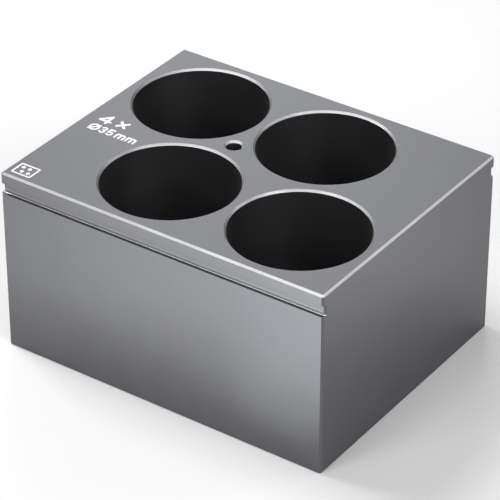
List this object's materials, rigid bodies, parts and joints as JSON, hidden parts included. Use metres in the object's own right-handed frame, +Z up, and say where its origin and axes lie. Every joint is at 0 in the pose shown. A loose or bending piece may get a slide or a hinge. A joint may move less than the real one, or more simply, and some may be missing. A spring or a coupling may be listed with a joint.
{
  "type": "heating block",
  "caption": "Milled metal heating block for a dry block heater, with round wells in two staggered rows, a sensor hole and a lifting groove along each long side.",
  "frame": {"origin": "centre of the block's underside", "axes": "+X along the block's long side, towards the end away from the printed marks; +Y from the front long side to the back; +Z up, out of the wells"},
  "size_m": [0.095, 0.0762, 0.051],
  "materials": {
    "anodised_metal": "fine matte grey anodised",
    "white_ink": "matte printed ink"
  },
  "bodies": {
    "root": {"heating_block": "anodised_metal", "well_count_mark": "white_ink", "well_size_mark": "white_ink", "layout_mark": "white_ink"}
  },
  "joints": []
}
